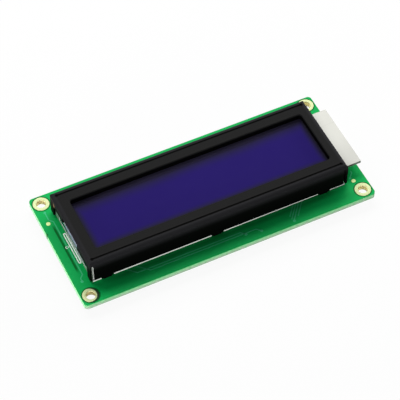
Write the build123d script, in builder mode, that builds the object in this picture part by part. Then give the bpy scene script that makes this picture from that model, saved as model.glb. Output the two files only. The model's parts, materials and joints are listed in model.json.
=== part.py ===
"""Character LCD module, 16 by 2 characters, with a side-lit backlight.

Millimetres, +Z up, +X along the long edge, +Y towards the row of header holes. The origin is below
the centre of the circuit board, on the plane that the module rests on, display side up.
"""

import os

from build123d import *

# Circuit board
board_length = 80.0
board_width = 36.0
board_thickness = 1.6
board_corner_radius = 1.0
pad_height = 0.05
barrel_wall = 0.1
small_barrel_sides = 8
small_bore_sides = 12

# Mounting holes, one near each corner
mount_inset = 2.5
mount_hole_diameter = 2.5
mount_pad_diameter = 4.2
mount_barrel_sides = 16
mount_pad_sides = 24

# Header holes, one row near the back long edge
header_count = 16
header_pitch = 2.54
header_end_inset = 8.0
header_edge_inset = 2.5
header_hole_diameter = 1.0
header_pad_diameter = 1.8

# Optical marks on the display side
mark_diameter = 1.1
left_mark_end_inset = 1.7
left_mark_edge_inset = 9.1
right_mark_end_inset = 3.3
right_mark_edge_inset = 5.9

# Bezel, one stamped and folded sheet
sheet = 0.5
bend_radius = 0.9
margin_left = 3.9
margin_right = 5.3
margin_long = 5.75
border_left = 3.5
border_right = 2.9
border_long = 4.15
window_corner_radius = 0.8
window_edge_chamfer = 0.2
rim_depth = 1.7
rim_clearance = 0.05
wall_foot_gap = 0.5
crease_inset = 1.4
crease_width = 0.5
crease_depth = 0.18
crease_end_inset = 1.3
corner_gap = 0.65
corner_gap_drop = 1.2
flap_height = 2.9
leg_width = 1.8
notch_width = 9.0

# Lugs that pass through the board and are twisted behind it
lug_count = 3
lug_left_inset = 4.6
lug_right_inset = 6.6
lug_shoulder_width = 3.0
tongue_width = 2.0
tongue_reach = 1.5
tongue_twist_drop = 0.7
tongue_twist_degrees = 38.0
tongue_slot_clearance = 0.2

# Backlight
frame_clearance = 0.1
frame_floor = 0.6
frame_lip_height = 0.45
frame_rim_thickness = 0.55
frame_rim_gap = 0.4
corner_relief_length = 1.6
corner_relief_depth = 1.2
lug_clearance = 0.2
guide_margin = 0.4
guide_clearance = 0.1
reflector_thickness = 0.1
guide_thickness = 2.0
diffuser_thickness = 0.2

# Light emitting diodes on their own small board, which stands out past the bezel
led_board_thickness = 0.8
led_board_gap = 0.15
led_board_side_gap = 0.95
led_pitch = 4.2
led_edge_inset = 1.5
led_width = 3.0
led_depth = 1.0
led_height = 1.3
pin_diameter = 0.7
pin_hole_diameter = 0.9
pin_pad_diameter = 2.0
pin_edge_inset = 3.5
pin_end_inset = 1.7
pin_tail = 1.1
solder_height = 0.8
solder_top_diameter = 1.0

# Liquid crystal cell
glass_end_clearance = 0.1
glass_side_clearance = 0.1
glass_thickness = 1.1
cell_gap = 0.05
seal_width = 1.0
seal_inset = 0.5
contact_ledge = 2.3
polarizer_thickness = 0.2
polarizer_overlap = 1.2
port_seal_length = 7.4
port_seal_height = 1.5
port_seal_depth = 0.4

# Elastomer connectors between the cell and the board, and the board's contacts below them
zebra_width = 1.8
zebra_end_inset = 3.2
zebra_clearance = 0.15
contact_pitch = 1.5
contact_width = 0.8
contact_end_inset = 1.2

# Parts on the rear of the board, which the module rests on
blob_radius = 7.2
blob_height = 1.6
blob_flat_radius = 3.2
blob_spacing = 30.0
blob_shift_x = -0.5
blob_shift_y = -1.0
chip_length = 2.0
chip_width = 1.25
chip_height = 0.5
chip_cap = 0.4
land_overhang = 0.35
resistor_count = 6
resistor_pitch = 3.4
resistor_row_inset = 8.4
capacitor_pitch = 4.2
capacitor_count = 2
capacitor_blob_gap = 4.0
jumper_pad_size = 1.2
jumper_gap = 0.4
jumper_pitch = 3.6
jumper_count = 3
jumper_blob_gap = 3.9

# Levels
rest_level = 0.0
board_bottom = rest_level + blob_height
board_top = board_bottom + board_thickness
reflector_bottom = board_top + frame_floor
guide_bottom = reflector_bottom + reflector_thickness
guide_top = guide_bottom + guide_thickness
tray_top = guide_top + diffuser_thickness
rear_glass_bottom = tray_top + polarizer_thickness
rear_glass_top = rear_glass_bottom + glass_thickness
front_glass_bottom = rear_glass_top + cell_gap
front_glass_top = front_glass_bottom + glass_thickness
polarizer_top = front_glass_top + polarizer_thickness
rim_bottom = polarizer_top + rim_clearance
bezel_top = rim_bottom + rim_depth
wall_foot = board_top + wall_foot_gap
flap_foot = bezel_top - flap_height

# Bezel, window and frame in plan
bezel_length = board_length - margin_left - margin_right
bezel_width = board_width - 2 * margin_long
bezel_x = (margin_left - margin_right) / 2
inner_length = bezel_length - 2 * sheet
inner_width = bezel_width - 2 * sheet
window_length = bezel_length - border_left - border_right
window_width = bezel_width - 2 * border_long
window_x = bezel_x + (border_left - border_right) / 2
frame_length = inner_length - 2 * frame_clearance
frame_width = inner_width - 2 * frame_clearance
frame_right = bezel_x + frame_length / 2
wall_y = (bezel_width - sheet) / 2
lug_first = bezel_x - bezel_length / 2 + lug_left_inset
lug_last = bezel_x + bezel_length / 2 - lug_right_inset
lug_step = (lug_last - lug_first) / (lug_count - 1)
lug_places = [(lug_first + i * lug_step, side * wall_y) for i in range(lug_count) for side in (-1, 1)]

# Cell and backlight in plan
glass_length = frame_length - 2 * glass_end_clearance
glass_width = frame_width - 2 * frame_rim_thickness - 2 * glass_side_clearance
rear_glass_width = glass_width - 2 * contact_ledge
polarizer_length = window_length + 2 * polarizer_overlap
polarizer_width = window_width + 2 * polarizer_overlap
channel_width = rear_glass_width - 2 * guide_margin
zebra_length = glass_length - 2 * zebra_end_inset
zebra_y = (glass_width - zebra_width) / 2 - zebra_clearance
contact_count = int((zebra_length - 2 * contact_end_inset) / contact_pitch)

# Backlight board in plan: it fits between the corner legs of the bezel's end wall
led_board_left = frame_right + led_board_gap
led_board_length = board_length / 2 - led_board_left
led_board_x = led_board_left + led_board_length / 2
led_board_width = bezel_width - 2 * (leg_width + led_board_side_gap)
led_board_bottom = guide_top
led_count = int((led_board_width - 2 * led_edge_inset - led_width) / led_pitch) + 1
pin_x = board_length / 2 - pin_end_inset
pin_spacing = led_board_width - 2 * pin_edge_inset

# Board places
header_x = -board_length / 2 + header_end_inset + (header_count - 1) * header_pitch / 2
header_y = board_width / 2 - header_edge_inset
mount_span_x = board_length - 2 * mount_inset
mount_span_y = board_width - 2 * mount_inset
blob_left_x = blob_shift_x - blob_spacing / 2
blob_right_x = blob_shift_x + blob_spacing / 2
resistor_y = board_width / 2 - resistor_row_inset
capacitor_x = blob_left_x - blob_radius - capacitor_blob_gap - chip_length / 2 - land_overhang
jumper_x = blob_right_x + blob_radius + jumper_blob_gap + jumper_pad_size + jumper_gap / 2
chip_bottom = board_bottom - pad_height
mark_places = [
    (-board_length / 2 + left_mark_end_inset, board_width / 2 - left_mark_edge_inset),
    (board_length / 2 - right_mark_end_inset, -board_width / 2 + right_mark_edge_inset),
]

os.makedirs("parts", exist_ok=True)


def save(part, name):
    """Label a finished piece and write it to its own file."""
    part.label = name
    export_step(part, f"parts/{name}.step")


# Bare circuit board, with every hole that goes through it
with BuildPart() as pcb:
    with BuildSketch(Plane.XY.offset(board_bottom)):
        RectangleRounded(board_length, board_width, board_corner_radius)
    extrude(amount=board_thickness)
    with BuildSketch(Plane.XY.offset(board_bottom)):
        with GridLocations(mount_span_x, mount_span_y, 2, 2):
            RegularPolygon(mount_hole_diameter / 2 + barrel_wall, mount_barrel_sides, major_radius=False)
        with Locations((header_x, header_y)):
            with GridLocations(header_pitch, 0, header_count, 1):
                RegularPolygon(header_hole_diameter / 2 + barrel_wall, small_barrel_sides, major_radius=False)
        with Locations((pin_x, 0)):
            with GridLocations(0, pin_spacing, 1, 2):
                RegularPolygon(pin_hole_diameter / 2 + barrel_wall, small_barrel_sides, major_radius=False)
        with Locations(*lug_places):
            Rectangle(tongue_width + 2 * tongue_slot_clearance, sheet + 2 * tongue_slot_clearance)
    extrude(amount=board_thickness, mode=Mode.SUBTRACT)
save(pcb.part, "pcb")


# Plated barrels with a pad on each face of the board, their hidden outsides faceted
with BuildPart() as mount_barrel:
    with BuildSketch(Plane.XY.offset(board_bottom)):
        RegularPolygon(mount_hole_diameter / 2 + barrel_wall, mount_barrel_sides, major_radius=False)
    extrude(amount=board_thickness)
    with BuildSketch(Plane.XY.offset(board_bottom - pad_height), Plane.XY.offset(board_top)):
        RegularPolygon(mount_pad_diameter / 2, mount_pad_sides, major_radius=False)
    extrude(amount=pad_height)
    Hole(mount_hole_diameter / 2)


def small_barrel(hole_diameter, pad_diameter):
    """A plated hole for a pin, with an eight-sided pad at each end and a twelve-sided bore."""
    with BuildPart() as barrel:
        with BuildSketch(Plane.XY.offset(board_bottom)):
            RegularPolygon(hole_diameter / 2 + barrel_wall, small_barrel_sides, major_radius=False)
        extrude(amount=board_thickness)
        with BuildSketch(Plane.XY.offset(board_bottom - pad_height), Plane.XY.offset(board_top)):
            RegularPolygon(pad_diameter / 2, small_barrel_sides, major_radius=False)
        extrude(amount=pad_height)
        with BuildSketch(Plane.XY.offset(board_bottom - pad_height)):
            RegularPolygon(hole_diameter / 2, small_bore_sides, major_radius=False)
        extrude(amount=board_thickness + 2 * pad_height, mode=Mode.SUBTRACT)
    return barrel.part


header_barrel = small_barrel(header_hole_diameter, header_pad_diameter)
pin_barrel = small_barrel(pin_hole_diameter, pin_pad_diameter)

with BuildPart() as mounting_hole_plating:
    with GridLocations(mount_span_x, mount_span_y, 2, 2):
        add(mount_barrel.part)
save(mounting_hole_plating.part, "mounting_hole_plating")

with BuildPart() as header_hole_plating:
    with Locations((header_x, header_y)):
        with GridLocations(header_pitch, 0, header_count, 1):
            add(header_barrel)
save(header_hole_plating.part, "header_hole_plating")

with BuildPart() as backlight_hole_plating:
    with Locations((pin_x, 0)):
        with GridLocations(0, pin_spacing, 1, 2):
            add(pin_barrel)
save(backlight_hole_plating.part, "backlight_hole_plating")

with BuildPart() as optical_marks:
    with BuildSketch(Plane.XY.offset(board_top)):
        with Locations(*mark_places):
            Circle(mark_diameter / 2)
    extrude(amount=pad_height)
save(optical_marks.part, "optical_marks")

# Contact fingers under the two elastomer connectors
with BuildPart() as display_contacts:
    with BuildSketch(Plane.XY.offset(board_top)):
        with Locations((bezel_x, 0)):
            with GridLocations(contact_pitch, 2 * zebra_y, contact_count, 2):
                Rectangle(contact_width, zebra_width)
    extrude(amount=pad_height)
save(display_contacts.part, "display_contacts")

# One twisted tongue, its top at the board's display face
with BuildPart() as tongue:
    with BuildSketch(Plane.XY.offset(board_bottom)):
        Rectangle(tongue_width, sheet)
    extrude(amount=board_thickness)
    with BuildSketch(Plane.XY.offset(board_bottom)):
        Rectangle(tongue_width, sheet)
    with BuildSketch(Plane.XY.offset(board_bottom - tongue_twist_drop)):
        Rectangle(tongue_width, sheet, rotation=tongue_twist_degrees)
    loft()
    with BuildSketch(Plane.XY.offset(board_bottom - tongue_twist_drop)):
        Rectangle(tongue_width, sheet, rotation=tongue_twist_degrees)
    extrude(amount=tongue_twist_drop - tongue_reach)

# Bezel: a tray of sheet with a drawn rim round its window, open corners, creases and lugs
with BuildPart() as bezel:
    with BuildSketch(Plane.XY.offset(wall_foot)):
        with Locations((bezel_x, 0)):
            Rectangle(bezel_length, bezel_width)
    extrude(amount=bezel_top - wall_foot)
    fillet(bezel.faces().sort_by(Axis.Z)[-1].edges(), bend_radius)
    with BuildSketch(Plane.XY.offset(wall_foot)):
        with Locations((bezel_x, 0)):
            Rectangle(inner_length, inner_width)
    extrude(amount=bezel_top - sheet - wall_foot, mode=Mode.SUBTRACT)
    ceiling = bezel.faces().filter_by(Plane.XY).sort_by(Axis.Z)[-2]
    fillet(ceiling.edges(), bend_radius - sheet)
    with BuildSketch(Plane.XY.offset(rim_bottom)):
        with Locations((window_x, 0)):
            RectangleRounded(window_length + 2 * sheet, window_width + 2 * sheet, window_corner_radius + sheet)
    extrude(amount=rim_depth - sheet)
    with BuildSketch(Plane.XY.offset(bezel_top)):
        with Locations((window_x, 0)):
            RectangleRounded(window_length, window_width, window_corner_radius)
    extrude(amount=-rim_depth, mode=Mode.SUBTRACT)
    face = bezel.faces().sort_by(Axis.Z)[-1]
    chamfer(face.inner_wires()[0].edges(), window_edge_chamfer)
    with BuildSketch(Plane.XY.offset(bezel_top)):
        with Locations((bezel_x, 0)):
            with GridLocations(0, bezel_width - 2 * crease_inset, 1, 2):
                Rectangle(bezel_length - 2 * crease_end_inset, crease_width)
    extrude(amount=-crease_depth, mode=Mode.SUBTRACT)
    # open corners beside the ends of the two long walls
    with BuildSketch(Plane.XY.offset(wall_foot)):
        with Locations((bezel_x, 0)):
            with GridLocations(inner_length - corner_gap, 2 * wall_y, 2, 2):
                Rectangle(corner_gap, 2 * sheet)
    extrude(amount=bezel_top - corner_gap_drop - wall_foot, mode=Mode.SUBTRACT)
    # end walls cut short between their corner legs, and notched at the middle
    with BuildSketch(Plane.XY.offset(wall_foot)):
        with Locations((bezel_x, 0)):
            with GridLocations(bezel_length - sheet, 0, 2, 1):
                Rectangle(2 * sheet, bezel_width - 2 * leg_width)
    extrude(amount=flap_foot - wall_foot, mode=Mode.SUBTRACT)
    with BuildSketch(Plane.XY.offset(wall_foot)):
        with Locations((bezel_x, 0)):
            with GridLocations(bezel_length - sheet, 0, 2, 1):
                Rectangle(2 * sheet, notch_width)
    extrude(amount=bezel_top - bend_radius - wall_foot, mode=Mode.SUBTRACT)
    # lugs: a wide shoulder down to the board, then the tongue
    with BuildSketch(Plane.XY.offset(board_top)):
        with Locations(*lug_places):
            Rectangle(lug_shoulder_width, sheet)
    extrude(amount=wall_foot_gap)
    with Locations(*lug_places):
        add(tongue.part)
save(bezel.part, "bezel")

# Backlight frame: a tray with a foot lip, slots for the connectors, side rims and corner posts
rim_top = bezel_top - sheet - frame_rim_gap
with BuildPart() as backlight_frame:
    with BuildSketch(Plane.XY.offset(board_top)):
        with Locations((bezel_x, 0)):
            Rectangle(frame_length, frame_width)
    extrude(amount=rim_top - board_top)
    with BuildSketch(Plane.XY.offset(board_top)):
        with Locations((bezel_x, 0)):
            Rectangle(frame_length, bezel_width)
    extrude(amount=frame_lip_height)
    # room for the cell between the side rims
    with BuildSketch(Plane.XY.offset(tray_top)):
        with Locations((bezel_x, 0)):
            Rectangle(frame_length + 2 * sheet, frame_width - 2 * frame_rim_thickness)
    extrude(amount=rim_top - tray_top, mode=Mode.SUBTRACT)
    # channel for the light guide, open at both ends
    with BuildSketch(Plane.XY.offset(reflector_bottom)):
        with Locations((bezel_x, 0)):
            Rectangle(frame_length, channel_width)
    extrude(amount=tray_top - reflector_bottom, mode=Mode.SUBTRACT)
    # slots that let the connectors down to the board
    with BuildSketch(Plane.XY.offset(board_top)):
        with Locations((bezel_x, 0)):
            with GridLocations(0, 2 * zebra_y, 1, 2):
                Rectangle(zebra_length + 2 * zebra_clearance, zebra_width + 2 * zebra_clearance)
    extrude(amount=tray_top - board_top, mode=Mode.SUBTRACT)
    # gaps in the lip where the lugs come down
    with BuildSketch(Plane.XY.offset(board_top)):
        with Locations(*lug_places):
            Rectangle(lug_shoulder_width + 2 * lug_clearance, sheet + 2 * frame_clearance)
    extrude(amount=frame_lip_height, mode=Mode.SUBTRACT)
    # corners relieved above the lip at the end with the diodes
    with BuildSketch(Plane.XY.offset(board_top + frame_lip_height)):
        with Locations((frame_right, 0)):
            with GridLocations(0, frame_width, 1, 2):
                Rectangle(2 * corner_relief_length, 2 * corner_relief_depth)
    extrude(amount=rim_top - board_top - frame_lip_height, mode=Mode.SUBTRACT)
save(backlight_frame.part, "backlight_frame")

# Films and light guide in the channel
guide_length = frame_length - 2 * guide_clearance
guide_width = channel_width - 2 * guide_clearance


def flat_piece(name, centre_x, length, width, bottom, thickness):
    """A flat rectangular piece centred on the long axis."""
    with BuildPart() as piece:
        with BuildSketch(Plane.XY.offset(bottom)):
            with Locations((centre_x, 0)):
                Rectangle(length, width)
        extrude(amount=thickness)
    save(piece.part, name)


flat_piece("reflector_film", bezel_x, guide_length, guide_width, reflector_bottom, reflector_thickness)
flat_piece("light_guide", bezel_x, guide_length, guide_width, guide_bottom, guide_thickness)
flat_piece("diffuser_film", bezel_x, guide_length, guide_width, guide_top, diffuser_thickness)

# Liquid crystal cell between its two polarizers
rear_film_width = rear_glass_width - 2 * seal_inset
flat_piece("rear_polarizer", window_x, polarizer_length, rear_film_width, tray_top, polarizer_thickness)
flat_piece("rear_glass", bezel_x, glass_length, rear_glass_width, rear_glass_bottom, glass_thickness)
flat_piece("front_glass", bezel_x, glass_length, glass_width, front_glass_bottom, glass_thickness)
flat_piece(
    "front_polarizer", window_x, polarizer_length, polarizer_width, front_glass_top, polarizer_thickness)

with BuildPart() as cell_seal:
    with BuildSketch(Plane.XY.offset(rear_glass_top)):
        with Locations((bezel_x, 0)):
            Rectangle(glass_length - 2 * seal_inset, rear_glass_width - 2 * seal_inset)
            Rectangle(
                glass_length - 2 * seal_inset - 2 * seal_width,
                rear_glass_width - 2 * seal_inset - 2 * seal_width,
                mode=Mode.SUBTRACT,
            )
    extrude(amount=cell_gap)
save(cell_seal.part, "cell_seal")

# Resin that closes the filling port, on the cell's left edge where the bezel is notched
port_level = (rear_glass_bottom + front_glass_top) / 2
glass_left = bezel_x - glass_length / 2
with BuildPart() as fill_port_seal:
    with BuildSketch(Plane.YZ.offset(glass_left)):
        with Locations((0, port_level)):
            SlotOverall(port_seal_length, port_seal_height)
    extrude(amount=-port_seal_depth)
    chamfer(fill_port_seal.faces().sort_by(Axis.X)[0].edges(), port_seal_depth / 2)
save(fill_port_seal.part, "fill_port_seal")

# Elastomer connectors, from the board's contacts up to the front glass
zebra_bottom = board_top + pad_height
for side, name in ((-1, "zebra_strip_front"), (1, "zebra_strip_back")):
    with BuildPart() as zebra_strip:
        with BuildSketch(Plane.XY.offset(zebra_bottom)):
            with Locations((bezel_x, side * zebra_y)):
                Rectangle(zebra_length, zebra_width)
        extrude(amount=front_glass_bottom - zebra_bottom)
    save(zebra_strip.part, name)

# Backlight board, its diodes and the two pins that feed and carry it
with BuildPart() as led_board:
    with BuildSketch(Plane.XY.offset(led_board_bottom)):
        with Locations((led_board_x, 0)):
            Rectangle(led_board_length, led_board_width)
    extrude(amount=led_board_thickness)
save(led_board.part, "led_board")

with BuildPart() as led_chips:
    with BuildSketch(Plane.XY.offset(led_board_bottom)):
        with Locations((led_board_left + led_depth / 2, 0)):
            with GridLocations(0, led_pitch, 1, led_count):
                Rectangle(led_depth, led_width)
    extrude(amount=-led_height)
save(led_chips.part, "led_chips")

with BuildPart() as backlight_pins:
    with BuildSketch(Plane.XY.offset(board_bottom - pin_tail)):
        with Locations((pin_x, 0)):
            with GridLocations(0, pin_spacing, 1, 2):
                Circle(pin_diameter / 2)
    extrude(amount=led_board_bottom - board_bottom + pin_tail)
save(backlight_pins.part, "backlight_pins")

with BuildPart() as solder_cone:
    with BuildSketch(Plane.XZ):
        with BuildLine():
            Polyline(
                (pin_diameter / 2, chip_bottom),
                (pin_pad_diameter / 2, chip_bottom),
                (solder_top_diameter / 2, chip_bottom - solder_height),
                (pin_diameter / 2, chip_bottom - solder_height),
                close=True,
            )
        make_face()
    revolve(axis=Axis.Z)

with BuildPart() as backlight_pin_solder:
    with Locations((pin_x, 0)):
        with GridLocations(0, pin_spacing, 1, 2):
            add(solder_cone.part)
save(backlight_pin_solder.part, "backlight_pin_solder")

# Epoxy caps over the two bonded chips, spherical domes cut flat where the module rests on them
dome_centre_z = rest_level + (blob_radius**2 - blob_flat_radius**2 + blob_height**2) / (2 * blob_height)
dome_radius = ((dome_centre_z - rest_level) ** 2 + blob_flat_radius**2) ** 0.5
for blob_x, name in ((blob_left_x, "controller_blob"), (blob_right_x, "driver_blob")):
    centre = (blob_x, blob_shift_y, 0)
    with BuildPart() as chip_blob:
        with BuildSketch(Plane(origin=centre, x_dir=(1, 0, 0), z_dir=(0, -1, 0))):
            with BuildLine():
                Line((0, rest_level), (blob_flat_radius, rest_level))
                RadiusArc((blob_flat_radius, rest_level), (blob_radius, board_bottom), -dome_radius)
                Line((blob_radius, board_bottom), (0, board_bottom))
                Line((0, board_bottom), (0, rest_level))
            make_face()
        revolve(axis=Axis(centre, (0, 0, 1)))
    save(chip_blob.part, name)


# Chip resistors and capacitors with their end caps and the lands they are soldered to
def chip_bodies(name, places, along_y):
    """Ceramic bodies of chip parts, one solid at each place."""
    turn = 90 if along_y else 0
    with BuildPart() as bodies:
        with BuildSketch(Plane.XY.offset(chip_bottom)):
            with Locations(*places):
                Rectangle(chip_length - 2 * chip_cap, chip_width, rotation=turn)
        extrude(amount=-chip_height)
    save(bodies.part, name)


def end_places(places, along_y, reach):
    """The two points at a distance either side of each place, along the chip."""
    step = (0, reach) if along_y else (reach, 0)
    return [(x + s * step[0], y + s * step[1]) for x, y in places for s in (-1, 1)]


resistor_first = blob_shift_x - (resistor_count - 1) * resistor_pitch / 2
resistor_places = [(resistor_first + i * resistor_pitch, resistor_y) for i in range(resistor_count)]
capacitor_first = blob_shift_y - (capacitor_count - 1) * capacitor_pitch / 2
capacitor_places = [(capacitor_x, capacitor_first + i * capacitor_pitch) for i in range(capacitor_count)]
cap_reach = (chip_length - chip_cap) / 2
land_reach = cap_reach + land_overhang / 2
chip_bodies("chip_resistors", resistor_places, True)
chip_bodies("chip_capacitors", capacitor_places, False)

with BuildPart() as chip_end_caps:
    with BuildSketch(Plane.XY.offset(chip_bottom)):
        with Locations(*end_places(resistor_places, True, cap_reach)):
            Rectangle(chip_width, chip_cap)
        with Locations(*end_places(capacitor_places, False, cap_reach)):
            Rectangle(chip_cap, chip_width)
    extrude(amount=-chip_height)
save(chip_end_caps.part, "chip_end_caps")

with BuildPart() as solder_lands:
    with BuildSketch(Plane.XY.offset(board_bottom)):
        with Locations(*end_places(resistor_places, True, land_reach)):
            Rectangle(chip_width, chip_cap + land_overhang)
        with Locations(*end_places(capacitor_places, False, land_reach)):
            Rectangle(chip_cap + land_overhang, chip_width)
    extrude(amount=-pad_height)
save(solder_lands.part, "solder_lands")

with BuildPart() as jumper_pads:
    with BuildSketch(Plane.XY.offset(board_bottom)):
        with Locations((jumper_x, blob_shift_y)):
            with GridLocations(jumper_pad_size + jumper_gap, jumper_pitch, 2, jumper_count):
                Rectangle(jumper_pad_size, jumper_pad_size)
    extrude(amount=-pad_height)
save(jumper_pads.part, "jumper_pads")
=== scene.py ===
"""Character display module: finishes and fine pieces, built round the packed frame.

The frame is in metres, with +X towards the backlight tab, +Y towards the header holes and +Z out of
the screen. Sizes here are in millimetres and are turned into metres when a mesh is made. Only the
settings keep theirs in metres, as Blender does.
"""

import json
import math

import bmesh
import bpy
import numpy as np
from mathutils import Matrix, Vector


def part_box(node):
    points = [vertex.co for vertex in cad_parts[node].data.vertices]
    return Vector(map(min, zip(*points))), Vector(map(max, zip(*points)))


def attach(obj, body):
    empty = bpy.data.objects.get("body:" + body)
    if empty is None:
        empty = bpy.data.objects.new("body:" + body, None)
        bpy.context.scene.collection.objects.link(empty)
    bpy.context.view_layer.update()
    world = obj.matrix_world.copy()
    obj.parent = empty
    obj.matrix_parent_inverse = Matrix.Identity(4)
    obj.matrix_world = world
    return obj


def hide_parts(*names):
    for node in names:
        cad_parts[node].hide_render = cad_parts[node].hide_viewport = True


bl_info = {
    "name": "Character display module",
    "version": (1, 0, 0),
    "blender": (4, 5, 0),
    "location": "3D View > Sidebar > Display module",
    "description": "Finishes and fine pieces of a character display module",
    "category": "Object",
}

MM = 0.001
SINK = 0.005  # how far tracks, print and caps reach into the board's face, in mm
WELD = 1e-7  # points closer than this become one, in metres
SHARP = math.radians(35)  # an edge that turns further than this stays sharp
LAMPS = (  # place and size in mm, power in watts
    ("key_lamp", (60, 400, 480), (1000, 320), 6.75),
    ("fill_lamp", (-390, -390, 60), (160, 160), 3.0),
    ("side_lamp", (430, 70, 110), (160, 160), 1.2),
)

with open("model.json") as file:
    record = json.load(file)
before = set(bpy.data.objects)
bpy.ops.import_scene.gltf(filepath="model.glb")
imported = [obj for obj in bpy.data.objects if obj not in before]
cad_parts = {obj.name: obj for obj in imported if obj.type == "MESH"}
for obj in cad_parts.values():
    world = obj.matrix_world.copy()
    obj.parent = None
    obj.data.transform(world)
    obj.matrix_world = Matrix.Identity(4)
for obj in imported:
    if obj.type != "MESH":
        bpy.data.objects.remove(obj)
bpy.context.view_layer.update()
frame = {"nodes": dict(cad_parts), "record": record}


def corners(node):
    """Lowest and highest corner of a packed node, in millimetres."""
    low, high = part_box(node)
    return np.array(low) / MM, np.array(high) / MM


def corners_above(node, height):
    """Lowest and highest corner of what a packed node has above a height, in millimetres."""
    vertices = frame["nodes"][node].data.vertices
    points = np.empty(3 * len(vertices))
    vertices.foreach_get("co", points)
    points = points.reshape(-1, 3) / MM
    points = points[points[:, 2] > height]
    return points.min(axis=0), points.max(axis=0)


def mount(name):
    """The packed record's mount of that name."""
    return next(m for m in frame["record"]["mounts"] if m["name"] == name)


board_low, board_high = corners("pcb")
bezel_low, bezel_high = corners_above("bezel", board_high[2] + 1.0)  # without its lugs
housing_low, _ = corners("backlight_frame")
film_low, film_high = corners("front_polarizer")
_, glass_high = corners("front_glass")
tab_low, tab_high = corners("led_board")
guide_low, guide_high = corners("light_guide")
pins_low, pins_high = corners("backlight_pins")
capacitors_low, capacitors_high = corners("chip_capacitors")
jumpers_low, jumpers_high = corners("jumper_pads")
cap_low, cap_high = corners("controller_blob")
cap_middles = [sum(corners(node))[:2] / 2 for node in ("controller_blob", "driver_blob")]
cap_inset = (cap_high[0] - cap_low[0]) / 2 - 0.4  # rear tracks start this far from a cap's middle
bezel_x = (bezel_low[0] + bezel_high[0]) / 2
board_top = board_high[2]
board_bottom = board_low[2]
pin_radius = (pins_high[0] - pins_low[0]) / 2
pin_x = (pins_low[0] + pins_high[0]) / 2
pin_y = pins_high[1] - pin_radius
pin_places = [(pin_x, pin_y, 0), (pin_x, -pin_y, 0)]
screw = mount("mounting_holes")
screw_middle = np.array(screw["pos_m"]) / MM
screw_half = np.array([screw["dims"]["spacing_x_mm"], screw["dims"]["spacing_y_mm"]]) / 2
header_middle = np.array(mount("header_row")["pos_m"]) / MM


def spaced(count, pitch):
    """Evenly spaced places either side of zero."""
    return (np.arange(count) - (count - 1) / 2) * pitch


def header_row(settings):
    """The x of each header hole."""
    return header_middle[0] + spaced(settings.header_count, settings.header_pitch / MM)


def under_cap(aside):
    """How far from an epoxy cap's middle a track starts that runs so far aside of it."""
    return math.sqrt(max(0, cap_inset**2 - aside**2))


def linear(red, green, blue):
    """A colour as it shows on a screen, 0 to 255, turned into the renderer's linear values."""
    share = np.array([red, green, blue]) / 255
    low, high = share / 12.92, ((share + 0.055) / 1.055) ** 2.4
    return tuple(float(v) for v in np.where(share <= 0.04045, low, high))


def colour(name, description, red, green, blue):
    """A colour property whose default is the colour as it shows on a screen."""
    tint = linear(red, green, blue)
    return bpy.props.FloatVectorProperty(
        name=name, description=description, subtype="COLOR", size=3, min=0, max=1, default=tint
    )


def length(name, description, default):
    """A size property, whose default is given here in millimetres and kept in metres."""
    return bpy.props.FloatProperty(
        name=name, description=description, unit="LENGTH", precision=5, min=0, default=default * MM
    )


def fraction(name, description, default):
    """A property from 0 to 1."""
    return bpy.props.FloatProperty(
        name=name, description=description, subtype="FACTOR", min=0, max=1, default=default
    )


def bearing(name, description, default):
    """An angle property, whose default is given here in degrees."""
    return bpy.props.FloatProperty(
        name=name, description=description, subtype="ANGLE", default=math.radians(default)
    )


class BoardSettings(bpy.types.PropertyGroup):
    """Circuit board: solder mask, laminate edge, copper tracks, plating and white print."""

    mask: colour("Solder mask", "Green lacquer on both faces of the board", 10, 164, 80)
    mask_deep: colour("Deep mask", "The same lacquer where no copper lies under it", 3, 126, 52)
    track: colour("Track", "Lacquer over a raised track", 62, 182, 124)
    edge: colour("Edge", "Cut edge of the laminate, upper half", 152, 216, 160)
    edge_low: colour("Lower edge", "Cut edge of the laminate, lower half, sawn and dusty", 178, 182, 172)
    gold: colour("Gold", "Plating of pads and marks", 189, 198, 148)
    barrel: colour("Barrel", "Plating inside the holes, unscuffed", 250, 240, 192)
    mark: colour("Mark", "Bare round marks that guide the placing machine", 226, 248, 168)
    ink: colour("Ink", "White print on the display face", 248, 253, 249)
    track_width: length("Track width", "Width of a copper track", 0.28)
    track_height: length("Track height", "How far a track stands out of the board's face", 0.03)
    ink_height: length("Ink height", "Thickness of the white print", 0.02)
    header_pitch: length("Header pitch", "Distance between header holes", 2.54)
    header_count: bpy.props.IntProperty(
        name="Header holes", description="Holes in the header row", min=1, default=16
    )


class BezelSettings(bpy.types.PropertyGroup):
    """Bezel: black paint on folded sheet."""

    paint: colour("Paint", "Black paint on the walls and in the window's rim", 2, 2, 2)
    face: colour("Face", "The same paint on the top face, handled to a satin grey", 24, 24, 24)
    painted_fold_sheen: colour("Worn fold", "Paint rubbed grey over the folds", 33, 33, 35)
    chip: colour("Chipped spot", "Primer where the paint has come off the left wall", 122, 96, 74)
    crease_inset: length("Crease inset", "From the long edges to the pressed creases", 1.4)
    crease_width: length("Crease width", "Width of a pressed crease", 0.5)
    crease_end: length("Crease end", "From the short edges to a crease's end", 1.3)
    roughness: fraction("Roughness", "How matt the paint is", 0.5)


class ScreenSettings(bpy.types.PropertyGroup):
    """Display cell: films, glass and resin."""

    film: colour("Film", "Dark blue film in the window", 30, 17, 90)
    border: colour("Border", "The film near the window's rim", 30, 28, 38)
    border_back: colour("Back border", "The film under the window's back rim", 56, 52, 72)
    glass: colour("Glass", "Tint of the cell's glass", 196, 205, 222)
    resin: colour("Resin", "Milky resin on the filling port", 130, 136, 156)


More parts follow.
